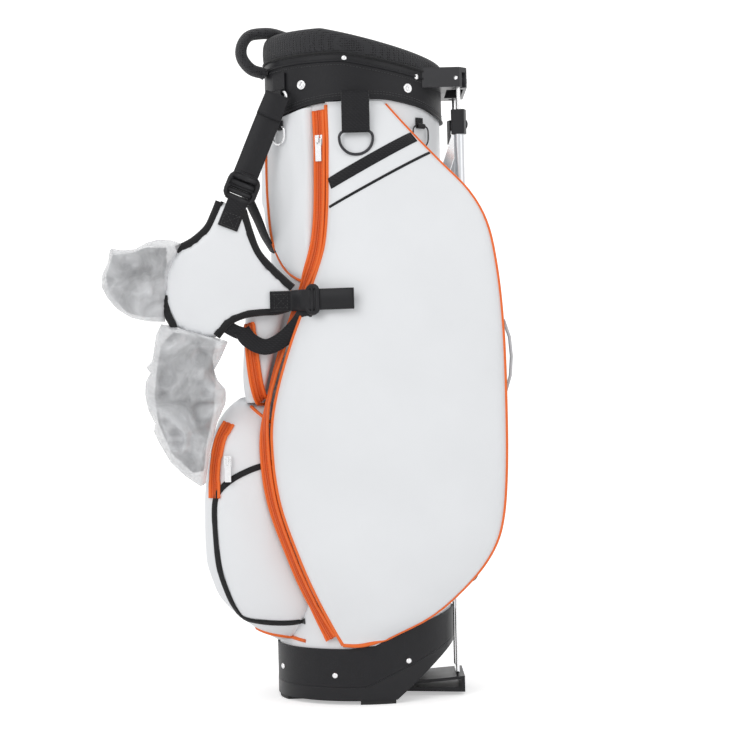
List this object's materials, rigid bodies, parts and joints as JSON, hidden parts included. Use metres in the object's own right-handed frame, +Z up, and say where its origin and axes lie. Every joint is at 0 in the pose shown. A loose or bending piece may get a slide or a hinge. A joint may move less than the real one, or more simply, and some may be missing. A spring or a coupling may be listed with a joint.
{
  "type": "golf stand bag",
  "caption": "Upright golf bag with zipped pockets, a padded harness, a divided padded cuff and two folding legs worked by a foot lever.",
  "frame": {"origin": "on the ground under the sleeve's axis", "axes": "+Z up, +X towards the side with the folding legs, -X towards the side with the shoulder harness"},
  "size_m": [0.536, 0.3004, 0.8845],
  "materials": {
    "moulding_black": "satin moulded plastic",
    "rubber_black": "matt rubber",
    "leather_white": "coated leather, slight sheen",
    "sleeve_white": "coated fabric",
    "fabric_grey": "woven lining",
    "mesh_black": "spacer mesh over foam",
    "leather_black": "coated leather",
    "webbing_black": "woven webbing",
    "pad_fabric": "padded fabric",
    "tape_orange": "woven zip tape",
    "steel": "bright plated steel",
    "ring_black": "moulded ring",
    "tube_alu": "satin tube"
  },
  "bodies": {
    "bag": {"accessory_tab": "webbing_black", "ball_pocket": "leather_white", "base_feet": "rubber_black", "base_moulding": "moulding_black", "base_rivets": "steel", "base_skirt": "leather_black", "body_sleeve": "sleeve_white", "body_stays": "tube_alu", "bracket_screws": "steel", "club_divider": "moulding_black", "cuff_band": "leather_black", "cuff_ring": "moulding_black", "cuff_rivets": "steel", "cuff_snaps": "steel", "divider_sleeve": "fabric_grey", "foot_lever_pin": "steel", "leg_pins": "steel", "lift_handle": "leather_black", "lower_webbing": "webbing_black", "mid_pocket": "leather_white", "rim_pad": "mesh_black", "rod_guides": "moulding_black", "shoulder_pad_left": "pad_fabric", "shoulder_pad_lower": "pad_fabric", "side_grab_handle": "leather_white", "side_pocket_far": "leather_white", "side_pocket_near": "leather_white", "stand_bracket": "moulding_black", "strap_adjuster_side": "moulding_black", "strap_adjuster_upper": "moulding_black", "strap_anchor": "leather_black", "strap_ring": "steel", "strap_tail": "leather_black", "strap_upper": "leather_black", "strap_yoke": "leather_white", "towel_tab": "webbing_black", "umbrella_tab": "webbing_black", "upper_pocket": "leather_white", "zip_tape_ball": "tape_orange", "zip_tape_mid": "tape_orange", "zip_tape_side": "tape_orange"},
    "leg_near": {"leg_stem_near": "steel", "leg_knuckle_near": "moulding_black", "leg_tube_near": "tube_alu", "leg_foot_near": "rubber_black"},
    "leg_far": {"leg_stem_far": "steel", "leg_knuckle_far": "moulding_black", "leg_tube_far": "tube_alu", "leg_foot_far": "rubber_black"},
    "rod": {"actuator_rod": "steel"},
    "link_near": {"leg_link_near": "steel"},
    "link_far": {"leg_link_far": "steel"},
    "lever": {"foot_lever": "moulding_black"},
    "towel_ring_body": {"towel_ring": "ring_black"},
    "umbrella_ring_body": {"umbrella_ring": "steel"},
    "accessory_ring_body": {"accessory_ring": "steel"},
    "slider_side": {"zip_slider_side": "steel"},
    "pull_side": {"zip_pull_side": "steel"},
    "slider_ball": {"zip_slider_ball": "steel"},
    "pull_ball": {"zip_pull_ball": "steel"}
  },
  "joints": [
    {"name": "leg_near_swing", "type": "hinge", "parent": "bag", "child": "leg_near", "pos_m": [0.138, -0.058, 0.811], "axis": [-0.309, -0.9511, 0], "range_deg": [0, 32]},
    {"name": "leg_far_swing", "type": "hinge", "parent": "bag", "child": "leg_far", "pos_m": [0.138, 0.058, 0.811], "axis": [0.309, -0.9511, 0], "range_deg": [0, 32.1]},
    {"name": "rod_lift", "type": "slide", "parent": "bag", "child": "rod", "axis": [0, 0, 1], "range_m": [0, 0.0305]},
    {"name": "link_near_turn", "type": "hinge", "parent": "rod", "child": "link_near", "pos_m": [0.1195, -0.04023, 0.69], "axis": [0.309, 0.9511, 0], "range_deg": [0, 31.9]},
    {"name": "link_far_turn", "type": "hinge", "parent": "rod", "child": "link_far", "pos_m": [0.1195, 0.04023, 0.69], "axis": [-0.309, 0.9511, 0], "range_deg": [0, 31.9]},
    {"name": "foot_lever_tilt", "type": "hinge", "parent": "bag", "child": "lever", "pos_m": [0.046, 0, 0.013], "axis": [0, -1, 0], "range_deg": [0, 21.6]},
    {"name": "towel_ring_swing", "type": "hinge", "parent": "bag", "child": "towel_ring_body", "pos_m": [0.003, -0.1204, 0.738], "axis": [-1, 0, 0], "range_deg": [0, 80]},
    {"name": "umbrella_ring_swing", "type": "hinge", "parent": "bag", "child": "umbrella_ring_body", "pos_m": [0.08759, -0.07202, 0.748], "axis": [-0.7132, -0.701, 0], "range_deg": [0, 70]},
    {"name": "accessory_ring_swing", "type": "hinge", "parent": "bag", "child": "accessory_ring_body", "pos_m": [-0.09792, -0.07439, 0.75], "axis": [-0.6822, 0.7312, 0], "range_deg": [0, 15]},
    {"name": "side_zip_slide", "type": "slide", "parent": "bag", "child": "slider_side", "axis": [0, 0, -1], "range_m": [0, 0.09]},
    {"name": "side_pull_swing", "type": "hinge", "parent": "slider_side", "child": "pull_side", "pos_m": [-0.04591, -0.1033, 0.7309], "axis": [-0.9403, 0.3404, 0], "range_deg": [0, 85]},
    {"name": "ball_zip_slide", "type": "slide", "parent": "bag", "child": "slider_ball", "axis": [-0.0379, 0, -0.9993], "range_m": [0, 0.11]},
    {"name": "ball_pull_swing", "type": "hinge", "parent": "slider_ball", "child": "pull_ball", "pos_m": [-0.1726, -0.1003, 0.3199], "axis": [-1, 0, 0], "range_deg": [0, 85]}
  ],
  "couplings": [
    {"joint": "leg_far_swing", "follows": "leg_near_swing", "ratio": 1},
    {"joint": "rod_lift", "follows": "leg_near_swing", "m_per_rad": 0.054361},
    {"joint": "link_near_turn", "follows": "leg_near_swing", "ratio": 0.99144},
    {"joint": "link_far_turn", "follows": "leg_near_swing", "ratio": 0.99144},
    {"joint": "foot_lever_tilt", "follows": "leg_near_swing", "ratio": 0.669}
  ]
}
